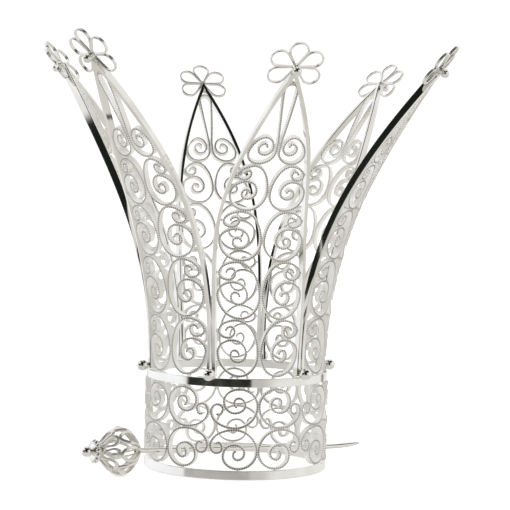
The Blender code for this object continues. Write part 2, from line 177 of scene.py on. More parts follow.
# Silver
MATT_METAL = 0.4  # blanched silver scatters light as a pale powder does
MATT_ROUGHNESS = 0.55
WORN_TONE = (0.82, 0.80, 0.75, 1.0)
BRIGHT_TONE = (0.93, 0.92, 0.885, 1.0)
OXIDE_TONE = (0.09, 0.085, 0.07, 1.0)
HAZE_SCALE = 420.0
WEAR_SCALE = 90.0
GRAIN_SCALE = 1500.0
GRAIN_HEIGHT = 0.0001  # metres
SHARP_ANGLE = 38.0

# A scroll is given by the points where its wire turns level or upright, from the small coil's
# inner end to the large coil's.  Across: 0 at the outer side, 1 at the middle of the petal.
BASE_SCROLL = (
    (0.12, 0.628), (0.176, 0.667), (0.253, 0.513), (0.132, 0.397), (0.0, 0.59), (0.516, 1.0),
    (1.0, 0.436), (0.604, 0.0), (0.275, 0.308), (0.505, 0.615), (0.736, 0.41), (0.593, 0.231),
    (0.495, 0.346), (0.56, 0.46),
)
PETAL_SCROLL = (
    (0.205, 0.813), (0.32, 0.884), (0.418, 0.795), (0.256, 0.685), (0.033, 0.804), (0.449, 1.0),
    (1.0, 0.386), (0.551, 0.0), (0.0, 0.422), (0.372, 0.641), (0.705, 0.404), (0.5, 0.249),
    (0.32, 0.368), (0.41, 0.461), (0.526, 0.386),
)
LYRE_SPIRAL = (
    (1.0, 0.47), (0.5, 0.0), (0.0, 0.51), (0.42, 1.0), (0.86, 0.6), (0.6, 0.33), (0.32, 0.6),
    (0.5, 0.755), (0.62, 0.62),
)
# Stations of a scroll that touch a neighbour
SMALL_COIL_OUTER = 4
SCROLL_HEAD = 5
SCROLL_MIDDLE = 6
SCROLL_FOOT = 7
LARGE_COIL_OUTER = 8
QUARTER_STEPS = 14
RIM_POINTS = 160

# Camera, in the crown's frame
CAMERA_PLACE = (-123.0, -501.7, 85.7)
CAMERA_AZIMUTH = 14.24
CAMERA_PITCH = 3.07
CAMERA_ROLL = 1.39
CAMERA_LENS = 133.27059
SENSOR_WIDTH = 36.0

# Stage
FLOOR_SIZE = 6.0  # metres
FLOOR_DROP = 0.00002  # metres below the rim, so that the two never share a plane
FLOOR_TONE = (0.93, 0.93, 0.93, 1.0)
FLOOR_GLOW = 0.45
WORLD_STRENGTH = 1.12
DOME_RADIUS = 3.0  # metres
DOME_COLUMNS = 240
DOME_ROWS = 120

# Tones of the studio that the polished silver mirrors
DIM_WALL = (0.70, 0.69, 0.66)
RIGHT_NEAR = (0.62, 0.615, 0.6)
RIGHT_FAR = (0.88, 0.88, 0.87)
BEHIND_CAMERA = (0.86, 0.86, 0.85)
LEFT_WINDOW = (1.0, 1.02, 1.07)
LEFT_HIGH = (0.95, 0.96, 0.98)
TABLE_FRONT = (0.56, 0.56, 0.55)
DARK_FRONT = (0.012, 0.015, 0.012)
PALE_PANEL = (0.66, 0.66, 0.65)
DARK_REAR = (0.03, 0.03, 0.03)
# Left edge of the dark front: its side at each height, in degrees
DARK_EDGE_HEIGHTS = (-8.0, -5.5, -1.7, 7.0, 12.0, 18.0, 24.0, 29.0, 32.5, 38.0)
DARK_EDGE_SIDES = (-64.0, -64.0, -84.0, -90.0, -88.0, -80.0, -71.0, -60.0, -51.0, -42.0)


# ---------------------------------------------------------------- curves

def turning_curve(stations, start_upright=True):
    """Points of a curve that turns level or upright at each station, joined by quarter ellipses."""
    points = [stations[0]]
    upright = start_upright
    for (ax, ay), (bx, by) in zip(stations, stations[1:]):
        for step in range(1, QUARTER_STEPS + 1):
            angle = math.radians(90.0) * step / QUARTER_STEPS
            late, early = 1.0 - math.cos(angle), math.sin(angle)
            share_x, share_y = (late, early) if upright else (early, late)
            points.append((ax + (bx - ax) * share_x, ay + (by - ay) * share_y))
        upright = not upright
    return np.array(points)


def bezier(controls, count):
    """Points of a cubic Bezier curve."""
    t = np.linspace(0.0, 1.0, count)[:, None]
    a, b, c, d = (np.array(point) for point in controls)
    return a * (1 - t) ** 3 + b * 3 * (1 - t) ** 2 * t + c * 3 * (1 - t) * t * t + d * t ** 3


def resampled(points, step, cyclic=False):
    """The path's points at an even spacing close to step."""
    if cyclic:
        points = np.vstack([points, points[:1]])
    lengths = np.concatenate([[0.0], np.cumsum(np.linalg.norm(np.diff(points, axis=0), axis=1))])
    count = max(2, int(round(lengths[-1] / step)))
    count += count % 2  # an even number, so that the milling closes on a loop
    at = np.linspace(0.0, lengths[-1], count + 1)
    even = np.column_stack([np.interp(at, lengths, points[:, k]) for k in range(points.shape[1])])
    return even[:-1] if cyclic else even


RIM = bezier(OUTLINE, RIM_POINTS)


def half_width(arc):
    """Outer half width of a petal at a distance up it."""
    return np.interp(arc, RIM[:, 1], RIM[:, 0])


def meridian_table(step=0.1):
    """Arc length, radius, height and lean along the petal's middle line."""
    height = np.arange(0.0, PETAL_HEIGHT + 14.0, step)
    share = height / PETAL_HEIGHT
    radius = PETAL_FOOT_RADIUS + FLARE * share ** FLARE_POWER
    slope = FLARE * FLARE_POWER / PETAL_HEIGHT * share ** (FLARE_POWER - 1.0)
    arc = np.concatenate([[0.0], np.cumsum(step * np.hypot(1.0, slope[:-1]))])
    return arc, radius, WAIST_BAND_TOP + height, np.arctan(slope)


MERIDIAN = meridian_table()


def turned_about_z(points, azimuth):
    """Points turned about the crown's axis."""
    turn = math.radians(azimuth)
    spin = np.array([[math.cos(turn), math.sin(turn), 0.0], [-math.sin(turn), math.cos(turn), 0.0],
                     [0.0, 0.0, 1.0]])
    return points @ spin


def on_petal(petal):
    """Map from a flat petal (across its outer face, up, outward) to the bent one in its place."""
    def place(flat):
        across, arc, outward = flat.T
        radius, height, lean = (np.interp(arc, MERIDIAN[0], column) for column in MERIDIAN[1:])
        share = np.clip(arc, 0.0, None) / FLOWER_ARC
        bend = share ** BEND_POWER
        bow = np.sin(math.pi * np.clip(share, 0.0, 1.0)) ** BOW_POWER
        side = TIP_SHIFT[petal] * bend + MIDDLE_BOW[petal] * bow
        turn = across / (radius + FRAME_DEPTH / 2.0)
        reach = radius + outward * np.cos(lean)
        lift = height - outward * np.sin(lean) + TIP_RISE[petal] * bend
        out = TIP_REACH[petal] * bend
        bent = np.column_stack([reach * np.cos(turn) + out, reach * np.sin(turn) + side, lift])
        return turned_about_z(bent, FRONT_AZIMUTH + SECTOR * petal)
    return place


def on_base(petal):
    """Map from a flat panel (across, height, outward) to its sixth of the ring."""
    def place(flat):
        across, height, outward = flat.T
        turn = across / BASE_RADIUS
        reach = BASE_RADIUS + outward
        bent = np.column_stack([reach * np.cos(turn), reach * np.sin(turn), height])
        return turned_about_z(bent, FRONT_AZIMUTH + SECTOR * petal)
    return place


# ---------------------------------------------------------------- mesh tools

class Shape:
    """Vertices, faces and the finish at each vertex (groove, matt), gathered for one mesh."""

    def __init__(self):
        self.points = []
        self.faces = []
        self.finish = []
        self.count = 0

    def add(self, points, faces, finish=None):
        """Add one closed body."""
        self.points.append(points)
        self.faces.append(np.asarray(faces) + self.count)
        self.finish.append(np.zeros((len(points), 2)) if finish is None else finish)
        self.count += len(points)

    def placed(self, place):
        """The same shape with its points mapped."""
        other = Shape()
        other.points = [place(np.vstack(self.points))]
        other.faces, other.finish, other.count = self.faces, self.finish, self.count
        return other

    def mirrored(self):
        """The same shape with left and right swapped."""
        other = self.placed(lambda points: points * (-1.0, 1.0, 1.0))
        other.faces = [faces[:, ::-1] for faces in self.faces]
        return other

    def mesh(self, name):
        """The finished mesh, in metres."""
        mesh = bpy.data.meshes.new(name)
        points = np.vstack(self.points) * MM
        faces = [tuple(face) for block in self.faces for face in block]
        mesh.from_pydata(points.tolist(), [], faces)
        finish = np.pad(np.vstack(self.finish), ((0, 0), (0, 1)))
        attribute = mesh.attributes.new("finish", "FLOAT_VECTOR", "POINT")
        attribute.data.foreach_set("vector", finish.astype(np.float32).ravel())
        return mesh


def ribbon_section(thickness, depth, bevel):
    """Corners of the ribbon's section (along the path's normal, outward), anticlockwise."""
    side, edge = thickness / 2.0, depth / 2.0
    return np.array([
        (side, -edge + bevel), (side, edge - bevel),
        (side - bevel, edge), (-side + bevel, edge),
        (-side, edge - bevel), (-side, -edge + bevel),
        (-side + bevel, -edge), (side - bevel, -edge),
    ])


def path_normals(path, cyclic):
    """Unit normals of a flat path, to its right."""
    if cyclic:
        tangent = np.roll(path, -1, axis=0) - np.roll(path, 1, axis=0)
    else:
        tangent = np.gradient(path, axis=0)
    tangent /= np.linalg.norm(tangent, axis=1)[:, None]
    return np.column_stack([tangent[:, 1], -tangent[:, 0]])


def swept(count, size, cyclic):
    """Faces that join a row of rings of equal size, and the rings' own indices."""
    index = np.arange(count * size).reshape(count, size)
    following = np.roll(index, -1, axis=0) if cyclic else index[1:]
    first = index if cyclic else index[:-1]
    corners = [first, np.roll(first, -1, axis=1), np.roll(following, -1, axis=1), following]
    return np.stack(corners, axis=-1).reshape(-1, 4), index


def add_ribbon(shape, path, thickness=RIBBON_THICKNESS, depth=RIBBON_DEPTH, bevel=EDGE_BEVEL,
               mill=MILL_DEPTH, pitch=MILL_PITCH, cyclic=False, matt=1.0):
    """Add a ribbon that stands on edge along a flat path, milled along its edges."""
    path = resampled(np.asarray(path, float), pitch / 2.0, cyclic)
    normal = path_normals(path, cyclic)
    section = ribbon_section(thickness, depth, bevel)
    cut = (np.arange(len(path)) % 2)[:, None] * mill
    along = section[:, 0][None, :]
    out = section[:, 1][None, :]
    on_edge = np.abs(out) > depth / 2.0 - bevel / 2.0
    out = np.where(on_edge, np.sign(out) * (np.abs(out) - cut), out - np.sign(out) * cut / 2.0)
    x = path[:, :1] + normal[:, :1] * along
    y = path[:, 1:] + normal[:, 1:] * along
    points = np.stack([x, y, out], axis=-1).reshape(-1, 3)
    grid = (len(path), len(section))
    faces, index = swept(*grid, cyclic)
    tarnish = RIDGE_TARNISH + (1.0 - RIDGE_TARNISH) * (cut > 0.0)
    groove = np.where(on_edge & (section[:, 1] > 0.0), tarnish, 0.0) * (mill > 0.0)
    dull = np.where(on_edge & (mill > 0.0), EDGE_MATT, 1.0) * matt
    finish = [np.broadcast_to(value, grid).ravel() for value in (groove, dull)]
    shape.add(points, faces, np.column_stack(finish))
    if not cyclic:
        caps = section_caps(index[0], True) + section_caps(index[-1], False)
        shape.faces.append(np.array(caps) + shape.count - len(points))


def add_solder(shape, across, up, along_joint):
    """Add a blob of solder to a flat panel; along_joint says whether the joint runs upwards."""
    wide, long, deep = SOLDER
    size = (wide, long, deep) if along_joint else (long, wide, deep)

    def place(points):
        return points * size + (across, up, 0.0)
    add_solid(shape, ball_profile(1.0, 7), BLOB_SEGMENTS, place)


def section_caps(ring, first):
    """Quads that close an eight-cornered ring."""
    quads = [(0, 1, 2, 7), (2, 3, 6, 7), (3, 4, 5, 6)]
    if first:
        quads = [tuple(reversed(quad)) for quad in quads]
    return [tuple(ring[k] for k in quad) for quad in quads]


def lathe(profile, segments):
    """Points and faces of a solid turned about Z from (radius, height) points, from its foot up."""
    angle = np.linspace(0.0, 2.0 * math.pi, segments, endpoint=False)
    rings = [np.column_stack([r * np.cos(angle), r * np.sin(angle), np.full(segments, z)])
             for r, z in profile]
    points = np.vstack(rings)
    index = np.arange(len(points)).reshape(len(profile), segments)
    right = np.roll(index, -1, axis=1)
    faces = np.stack([index[:-1], right[:-1], right[1:], index[1:]], axis=-1).reshape(-1, 4)
    return points, faces, index


def add_turned_ring(shape, profile, segments, matt_rows=None):
    """Add a ring turned from a profile that closes on itself; matt_rows is 1 where it is matt."""
    points, faces, index = lathe(profile, segments)
    right = np.roll(index, -1, axis=1)
    closing = np.column_stack([index[-1], right[-1], right[0], index[0]])
    matt = np.repeat(np.zeros(len(profile)) if matt_rows is None else matt_rows, segments)
    finish = np.column_stack([np.zeros(len(points)), matt])
    shape.add(points, np.vstack([faces, closing]), finish)


def add_wire_ring(shape, radius, place, wire_radius, round_wire, round_ring):
    """Add a ring of round wire about Z; the last two are the facets round the wire and the ring."""
    turn = np.linspace(0.0, 2.0 * math.pi, round_wire, endpoint=False)
    wire = [(radius + wire_radius * math.cos(a), place + wire_radius * math.sin(a)) for a in turn]
    add_turned_ring(shape, wire, round_ring)


# ---------------------------------------------------------------- flat panels

def base_panel():
    """The four soldered C-scrolls of one sixth of the ring, flat."""
    shape = Shape()
    seam = BASE_RADIUS * math.radians(SECTOR / 2.0) - PAIR_OFFSET
    low, high = LOWER_BAND_TOP + CLEAR, WAIST_BAND_BOTTOM - CLEAR
    centre = (low + high) / 2.0
    curve = turning_curve(BASE_SCROLL)
    for edge, meet in ((high, centre + TIER_JOIN), (low, centre - TIER_JOIN)):
        for side in (-1, 1):
            across = side * (seam + (TIER_JOIN - seam) * curve[:, 0])
            add_ribbon(shape, np.column_stack([across, edge + (meet - edge) * curve[:, 1]]))
            touch, large, joined = (
                edge + (meet - edge) * BASE_SCROLL[station][1]
                for station in (SMALL_COIL_OUTER, SCROLL_MIDDLE, SCROLL_FOOT))
            add_solder(shape, side * (seam + PAIR_OFFSET), touch, True)
            add_solder(shape, 0.0, large, True)
            foot = side * (seam + (TIER_JOIN - seam) * BASE_SCROLL[SCROLL_FOOT][0])
            add_solder(shape, foot, joined - CLEAR / 2.0 * math.copysign(1.0, meet - edge), False)
    for side in (-1, 1):
        head = side * (seam + (TIER_JOIN - seam) * BASE_SCROLL[SCROLL_HEAD][0])
        add_solder(shape, head, centre, False)
    return shape


def frame_panel():
    """Flat lancet frame of one petal, bent from one strip that closes behind the flower's hub."""
    rim = np.column_stack([RIM[:, 0] - FRAME_THICKNESS / 2.0, RIM[:, 1]])
    rim[0, 1] = FRAME_FOOT
    path = np.vstack([rim, [(0.0, FRAME_APEX)], rim[::-1] * (-1.0, 1.0)])
    shape = Shape()
    add_ribbon(shape, path, FRAME_THICKNESS, FRAME_DEPTH, bevel=WIDE_BEVEL, mill=0.0, pitch=2.0,
               matt=0.0)
    return shape


def across_petal(share, arc):
    """Ribbon centre line between the frame (0) and the petal's middle (1)."""
    outer = half_width(arc) - FRAME_THICKNESS - CLEAR
    return outer + (PAIR_OFFSET - outer) * share


def scroll_column():
    """The four soldered C-scrolls on the right side of a petal, flat."""
    shape = Shape()
    half = RIBBON_THICKNESS / 2.0
    last = len(TIER_LIMITS) - 2
    curve = turning_curve(PETAL_SCROLL)
    for index, (low, high) in enumerate(zip(TIER_LIMITS, TIER_LIMITS[1:])):
        start = low + half if index == 0 else low + TIER_JOIN
        end = high - CLEAR if index == last else high - TIER_JOIN
        arc = start + (end - start) * curve[:, 1]
        add_ribbon(shape, np.column_stack([across_petal(curve[:, 0], arc), arc]))
        small, large, middle = (
            start + (end - start) * PETAL_SCROLL[station][1]
            for station in (SMALL_COIL_OUTER, LARGE_COIL_OUTER, SCROLL_MIDDLE))
        add_solder(shape, across_petal(0.0, small) + CLEAR / 2.0, small, True)
        add_solder(shape, across_petal(0.0, large) + CLEAR / 2.0, large, True)
        add_solder(shape, PAIR_OFFSET / 2.0, middle, True)
        add_solder(shape, across_petal(PETAL_SCROLL[SCROLL_HEAD][0], high), high, False)
    return shape


def lyre_half():
    """Half of the lyre's path, from the arch's crown down the leg and into its coil."""
    turn = np.radians(np.linspace(0.0, 90.0, 10))
    arch = np.column_stack([ARCH_HALF_WIDTH * np.sin(turn),
                            ARCH_SPRING + (ARCH_TOP - ARCH_SPRING) * np.cos(turn)])
    share = np.linspace(0.0, 1.0, 24)[1:]
    leg = np.column_stack([ARCH_HALF_WIDTH - (ARCH_HALF_WIDTH - LEG_HALF_GAP) * share ** LEG_BOW,
                           ARCH_SPRING + (LEG_END - ARCH_SPRING) * share])
    low = TIER_LIMITS[-1] + RIBBON_THICKNESS / 2.0
    curve = turning_curve(LYRE_SPIRAL)
    arc = low + (LYRE_TOP - low) * curve[:, 1]
    return np.vstack([arch, leg, np.column_stack([across_petal(curve[:, 0], arc), arc])])


def lyre_panel():
    """Flat lyre: an arch whose legs close up and end in two coils."""
    half = lyre_half()
    shape = Shape()
    add_ribbon(shape, np.vstack([half[::-1] * (-1.0, 1.0), half[1:]]))
    return shape


def flower_loop(direction):
    """One flat wire loop of a flower about its hub."""
    half = math.radians(LOOP_HALF_ANGLE)
    middle = LOOP_END / (1.0 + math.sin(half))
    start = LOOP_START * math.tan(half)
    turn = np.linspace(-1.0, 1.0, 33) * (math.radians(90.0) + half)
    rounded = np.column_stack([np.cos(turn), np.sin(turn)]) * (LOOP_END - middle) + (middle, 0.0)
    path = np.vstack([[(LOOP_START, -start)], rounded, [(LOOP_START, start)]])
    spin = math.radians(direction)
    x = path[:, 0] * math.cos(spin) - path[:, 1] * math.sin(spin)
    y = path[:, 0] * math.sin(spin) + path[:, 1] * math.cos(spin)
    return np.column_stack([x, y + FLOWER_ARC])


def flower_panel():
    """Flat flower: five loops joined at the hub."""
    shape = Shape()
    for direction in LOOP_DIRECTIONS:
        add_ribbon(shape, flower_loop(direction), LOOP_THICKNESS, LOOP_DEPTH, bevel=WIDE_BEVEL,
                   mill=0.0, pitch=0.6, cyclic=True, matt=FLOWER_MATT)
    return shape


# ---------------------------------------------------------------- turned pieces

def band_shape(outer, bottom, top):
    """Plain band with softened edges, left matt on the inside."""
    inner = outer - BAND_THICKNESS
    soft, flat = BAND_EDGE, BAND_EDGE * 1.2
    profile = [
        (inner + soft, bottom), (outer - soft, bottom), (outer - soft / 3.0, bottom + soft / 3.0),
        (outer, bottom + soft), (outer, bottom + flat), (outer, top - flat), (outer, top - soft),
        (outer - soft / 3.0, top - soft / 3.0), (outer - soft, top), (inner + soft, top),
        (inner, top - soft), (inner, top - flat), (inner, bottom + flat), (inner, bottom + soft),
    ]
    shape = Shape()
    matt_rows = [float(radius <= inner) for radius, height in profile]
    add_turned_ring(shape, profile, BAND_SEGMENTS, matt_rows)
    return shape


def ball_profile(radius, steps=14):
    """Half circle from the foot to the top of a ball, with tiny flats at its poles."""
    angle = np.radians(np.linspace(-88.0, 88.0, steps))
    return [(radius * math.cos(a), radius * math.sin(a)) for a in angle]


def add_solid(shape, profile, segments, place):
    """Add a turned solid whose ends are closed by small fans."""
    points, faces, index = lathe(profile, segments)
    ends = np.array([(0.0, 0.0, profile[0][1]), (0.0, 0.0, profile[-1][1])])
    foot, top = len(points), len(points) + 1
    triangles = [(foot, b, a) for a, b in zip(index[0], np.roll(index[0], -1))]
    triangles += [(top, a, b) for a, b in zip(index[-1], np.roll(index[-1], -1))]
    start = shape.count
    shape.add(place(np.vstack([points, ends])), faces)
    shape.faces.append(np.array(triangles) + start)


def in_frame(matrix):
    """Map from a frame's own coordinates (millimetres) to the crown's."""
    turn = np.array(matrix.to_3x3())
    origin = np.array(matrix.translation)

    def place(points):
        return points @ turn.T + origin
    return place


def facing(origin, direction):
    """Frame at a point whose +Z looks along a direction."""
    quaternion = Vector(direction).to_track_quat("Z", "Y")
    return Matrix.Translation(Vector(origin)) @ quaternion.to_matrix().to_4x4()


def seam_bead(index):
    """Bead on the waist band with its solder cup behind it."""
    turn = math.radians(FRONT_AZIMUTH + SECTOR * (index + 0.5))
    out = Vector((math.cos(turn), math.sin(turn), 0.0))
    centre = out * SEAM_BEAD_AXIS_RADIUS + Vector((0.0, 0.0, SEAM_BEAD_HEIGHT))
    shape = Shape()
    add_solid(shape, ball_profile(SEAM_BEAD_RADIUS), BALL_SEGMENTS, in_frame(facing(centre, out)))
    add_solid(shape, SEAM_CUP, CUP_SEGMENTS, in_frame(facing(centre, out)))
    return shape


def flower_bead(petal):
    """Bead at the heart of a flower, set in a small cup."""
    place = on_petal(petal)
    outward = LOOP_DEPTH / 2.0
    foot, top = (
        Vector(place(np.array([(0.0, FLOWER_ARC, z)]))[0]) for z in (outward, outward + 1.0))
    out = (top - foot).normalized()
    shape = Shape()
    centre = foot + out * (FLOWER_BEAD_LIFT + FLOWER_BEAD_RADIUS)
    add_solid(shape, ball_profile(FLOWER_BEAD_RADIUS), BALL_SEGMENTS, in_frame(facing(centre, out)))
    add_solid(shape, FLOWER_CUP, CUP_SEGMENTS, in_frame(facing(foot, out)))
    return shape


# ---------------------------------------------------------------- hairpin

def ring_point(azimuth, height):
    """Point of the lattice ring."""
    turn = math.radians(azimuth)
    return Vector((BASE_RADIUS * math.cos(turn), BASE_RADIUS * math.sin(turn), height))


def pin_frame():
    """Frame of the pin: origin at the bud's middle, +Z towards the point."""
    entry = ring_point(ENTRY_AZIMUTH, ENTRY_HEIGHT)
    run = (ring_point(EXIT_AZIMUTH, EXIT_HEIGHT) - entry).normalized()
    return facing(entry - run * BUD_SETBACK, run)


def bud_radius(place):
    """Radius of the bud's mid surface at a place along the pin."""
    from_widest = place - BUD_WIDEST
    span = np.where(from_widest > 0.0, BUD_SPAN - BUD_WIDEST, BUD_SPAN + BUD_WIDEST)
    return BUD_RADIUS * (1.0 - (np.abs(from_widest) / span) ** BUD_POWER)


def on_bud(turn):
    """Map from flat (distance round the bud's waist, place along the pin, outward) to the bud."""
    def place(flat):
        across, along, outward = flat.T
        slope = (bud_radius(along + 0.05) - bud_radius(along - 0.05)) / 0.1
        tilt = np.arctan(slope)
        reach = bud_radius(along) + outward * np.cos(tilt)
        angle = across / BUD_RADIUS + math.radians(turn)
        return np.column_stack([reach * np.cos(angle), reach * np.sin(angle),
                                along - outward * np.sin(tilt)])
    return place


def bud_loop(low, high, pinch, power):
    """Flat leaf-shaped loop from its narrow foot to its round end: round the bud, along the pin."""
    half = BUD_RADIUS * math.radians(BUD_SECTOR / 2.0) - BUD_RIBBON / 2.0
    turn = np.linspace(0.0, math.pi, 31)
    share = (1.0 - np.cos(turn)) / 2.0
    right = np.column_stack([pinch * (1.0 - share) + half * np.sin(turn) * share ** power,
                             low + (high - low) * share])
    path = np.vstack([right, right[::-1] * (-1.0, 1.0)])
    shape = Shape()
    add_ribbon(shape, path, BUD_RIBBON, BUD_DEPTH, bevel=BUD_BEVEL, mill=0.0, pitch=0.5,
               cyclic=True, matt=BUD_MATT)
    return shape


def bud_row(loop, ring_place):
    """A row of loops round the bud with the wire ring that joins them."""
    shape = Shape()
    for index in range(BUD_LOOPS):
        copy = loop.placed(on_bud(BUD_SECTOR * index))
        shape.add(copy.points[0], copy.faces[0], np.vstack(loop.finish))
    add_wire_ring(shape, float(bud_radius(ring_place)), ring_place, BUD_RING_WIRE, 12, 40)
    return shape


def bud_leaves():
    """Leaves of the bud, joined at the collar."""
    return bud_row(bud_loop(BUD_FOOT, BUD_MEET - BUD_GAP, LEAF_PINCH, LEAF_POWER), BUD_FOOT)


def bud_ovals():
    """Second row of loops, joined at the neck."""
    return bud_row(bud_loop(BUD_NECK, BUD_MEET + BUD_GAP, OVAL_PINCH, OVAL_POWER), BUD_NECK)


def along_pin(profile, place):
    """A profile moved along the pin."""
    return [(radius, place + height) for radius, height in profile]


def unmoved(points):
    """The place of a piece that is turned about the pin's own axis."""
    return points


def pin_shaft():
    """Turned shaft with a flared neck and a long point."""
    profile = along_pin(SHAFT_NECK, SHAFT_START)
    profile += [(0.75, NECK_END), (SHAFT_RADIUS, NECK_END + 0.6)]
    profile += [(SHAFT_RADIUS, place) for place in np.arange(POINT_BEND_START, TAPER_START, 1.0)]
    for share in np.linspace(0.0, 1.0, 12):
        radius = SHAFT_RADIUS * math.sqrt(1.0 - share ** 3) * (1.0 - TIP_RADIUS_SHARE * share)
        place = TAPER_START + (PIN_END - TAPER_START) * share
        profile.append((radius + TIP_BLUNT * share, place))

    def bent(points):
        share = np.clip((points[:, 2] - POINT_BEND_START) / (PIN_END - POINT_BEND_START), 0.0, 1.0)
        return points + np.outer(share ** 2, (POINT_SIDE, POINT_LIFT, 0.0))
    shape = Shape()
    add_solid(shape, profile, SHAFT_SEGMENTS, bent)
    return shape


def pin_collar():
    """Collar: a disc, two wire rings and a ring of granules."""
    shape = Shape()
    add_solid(shape, along_pin(COLLAR_DISC, COLLAR_PLACE), DISC_SEGMENTS, unmoved)
    for offset, radius in COLLAR_RINGS:
        add_wire_ring(shape, radius, COLLAR_PLACE + offset, COLLAR_WIRE, 10, 36)
    reach = COLLAR_RADIUS - GRANULE_RADIUS
    for index in range(GRANULES):
        turn = 2.0 * math.pi * index / GRANULES
        centre = (reach * math.cos(turn), reach * math.sin(turn), COLLAR_PLACE + GRANULE_OFFSET)
        add_solid(shape, ball_profile(GRANULE_RADIUS, 9), GRANULE_SEGMENTS,
                  in_frame(facing(centre, (0, 0, 1))))
    return shape


def pin_end_ball():
    """Ball at the bud's end, on a short neck."""
    shape = Shape()
    ball = along_pin(ball_profile(END_BALL_RADIUS), END_BALL_PLACE)
    add_solid(shape, ball, BALL_SEGMENTS, unmoved)
    add_solid(shape, along_pin(END_BALL_NECK, END_BALL_PLACE), CUP_SEGMENTS, unmoved)
    return shape


# ---------------------------------------------------------------- silver

def noise(nodes, links, place, scale, detail):
    """A noise pattern fixed to the piece."""
    pattern = nodes.new("ShaderNodeTexNoise")
    pattern.inputs["Scale"].default_value = scale
    pattern.inputs["Detail"].default_value = detail
    links.new(place.outputs["Object"], pattern.inputs["Vector"])
    return pattern.outputs["Fac"]


def silver(name, tarnish, rough_low, rough_high, grain):
    """Polished silver: faint polishing haze, worn patches and dark grooves."""
    material = bpy.data.materials.new(name)
    material.use_nodes = True
    nodes, links = material.node_tree.nodes, material.node_tree.links
    shader = nodes["Principled BSDF"]
    place = nodes.new("ShaderNodeTexCoord")

    rough = nodes.new("ShaderNodeMapRange")
    rough.inputs["To Min"].default_value = rough_low
    rough.inputs["To Max"].default_value = rough_high
    links.new(noise(nodes, links, place, HAZE_SCALE, 4.0), rough.inputs["Value"])

    finish = nodes.new("ShaderNodeAttribute")
    finish.attribute_name = "finish"
    parts = nodes.new("ShaderNodeSeparateXYZ")
    links.new(finish.outputs["Vector"], parts.inputs["Vector"])
    blanched = nodes.new("ShaderNodeMapRange")
    blanched.inputs["To Min"].default_value = 1.0
    blanched.inputs["To Max"].default_value = MATT_METAL
    links.new(parts.outputs["Y"], blanched.inputs["Value"])
    links.new(blanched.outputs["Result"], shader.inputs["Metallic"])
    dull = nodes.new("ShaderNodeMix")
    dull.inputs["B"].default_value = MATT_ROUGHNESS
    links.new(parts.outputs["Y"], dull.inputs["Factor"])
    links.new(rough.outputs["Result"], dull.inputs["A"])
    links.new(dull.outputs["Result"], shader.inputs["Roughness"])

    tone = nodes.new("ShaderNodeValToRGB")
    worn, bright = tone.color_ramp.elements
    worn.position, worn.color = 0.35, WORN_TONE
    bright.position, bright.color = 0.65, BRIGHT_TONE
    links.new(noise(nodes, links, place, WEAR_SCALE, 3.0), tone.inputs["Fac"])

    depth = nodes.new("ShaderNodeMath")
    depth.operation = "MULTIPLY"
    depth.inputs[1].default_value = tarnish
    links.new(parts.outputs["X"], depth.inputs[0])
    oxide = nodes.new("ShaderNodeMix")
    oxide.data_type = "RGBA"
    oxide.inputs["B"].default_value = OXIDE_TONE
    links.new(depth.outputs["Value"], oxide.inputs["Factor"])
    links.new(tone.outputs["Color"], oxide.inputs["A"])
    links.new(oxide.outputs["Result"], shader.inputs["Base Color"])

    bump = nodes.new("ShaderNodeBump")
    bump.inputs["Strength"].default_value = grain
    bump.inputs["Distance"].default_value = GRAIN_HEIGHT
    links.new(noise(nodes, links, place, GRAIN_SCALE, 2.0), bump.inputs["Height"])
    links.new(bump.outputs["Normal"], shader.inputs["Normal"])
    return material


# Slot: name, tarnish of the grooves, least and most roughness, grain
FINISHES = {
    "band_silver": silver("band_silver_polished", 0.0, 0.05, 0.12, 0.02),
    "filigree_silver": silver("filigree_silver_milled", 0.9, 0.2, 0.34, 0.15),
    "frame_silver": silver("frame_silver_polished", 0.0, 0.03, 0.09, 0.02),
    "bead_silver": silver("bead_silver_polished", 0.0, 0.08, 0.16, 0.02),
    "flower_silver": silver("flower_silver_polished", 0.5, 0.18, 0.28, 0.08),
    "pin_silver": silver("pin_silver_polished", 0.0, 0.06, 0.14, 0.04),
}


# ---------------------------------------------------------------- pieces

def add_piece(name, shape, node, body, slot):
    """A finished piece that stands for one CAD node."""
    mesh = shape.mesh(name)
    mesh.materials.append(FINISHES[slot])
    mesh.shade_smooth()
    mesh.set_sharp_from_angle(angle=math.radians(SHARP_ANGLE))
    obj = bpy.data.objects.new(name, mesh)
    bpy.context.scene.collection.objects.link(obj)
    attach(obj, body)
    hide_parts(node)
    obj.visible_glossy = slot != "filigree_silver"  # keeps the mirrored filigree off the strips


def build_ring():
    """Bands, lattice and seam beads."""
    lower = band_shape(LOWER_BAND_RADIUS, 0.0, LOWER_BAND_TOP)
    add_piece("lower_rim_polished", lower, "lower_rim_band", "crown", "band_silver")
    waist = band_shape(WAIST_BAND_RADIUS, WAIST_BAND_BOTTOM, WAIST_BAND_TOP)
    add_piece("waist_band_polished", waist, "waist_band", "crown", "band_silver")
    panel = base_panel()
    for i in range(PETALS):
        n = i + 1
        for name, shape, node, slot in (
            ("base_filigree", panel.placed(on_base(i)), "base_lattice", "filigree_silver"),
            ("seam_bead_polished", seam_bead(i), "seam_bead", "bead_silver"),
        ):
            add_piece(f"{name}_{n}", shape, f"{node}_{n}", "crown", slot)


